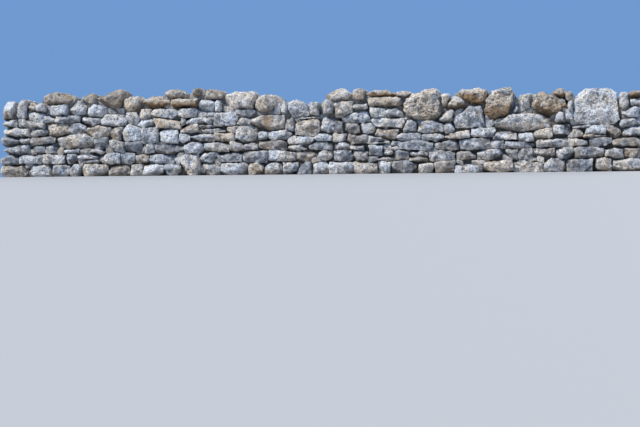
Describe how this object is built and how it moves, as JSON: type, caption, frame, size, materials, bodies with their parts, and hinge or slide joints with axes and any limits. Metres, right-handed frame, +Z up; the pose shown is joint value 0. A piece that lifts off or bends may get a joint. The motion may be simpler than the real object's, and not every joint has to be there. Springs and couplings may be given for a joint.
{
  "type": "dry stone wall",
  "caption": "Stretch of dry-laid limestone field wall: two faces of fitted rubble on a packed core, built ends and a rough coping of large boulders.",
  "frame": {"origin": "middle of the wall's footprint, on the ground under its middle", "axes": "+X along the wall towards the great slab's end, -Y out of the front face, +Z up"},
  "size_m": [11.52, 0.908, 1.6089],
  "materials": {
    "face_stone": "weathered, rough",
    "coping_stone": "weathered, lichened, rough",
    "core_stone": "rough"
  },
  "bodies": {
    "root": {"front_footings": "face_stone", "front_course_2": "face_stone", "front_course_3": "face_stone", "front_course_4": "face_stone", "front_course_5": "face_stone", "front_course_6": "face_stone", "front_course_7": "face_stone", "back_footings": "face_stone", "back_course_2": "face_stone", "back_course_3": "face_stone", "back_course_4": "face_stone", "back_course_5": "face_stone", "back_course_6": "face_stone", "back_course_7": "face_stone", "lens_boulder": "face_stone", "grey_boulder": "face_stone", "rounded_boulder": "face_stone", "face_boulders": "face_stone", "core": "core_stone", "coping_1": "coping_stone", "coping_2": "coping_stone", "coping_3": "coping_stone", "coping_4": "coping_stone", "sloping_boulder": "coping_stone", "overhanging_boulder": "coping_stone", "tall_boulder": "coping_stone", "keeled_boulder": "coping_stone", "great_slab": "coping_stone", "left_head": "face_stone", "right_head": "face_stone"}
  },
  "joints": []
}
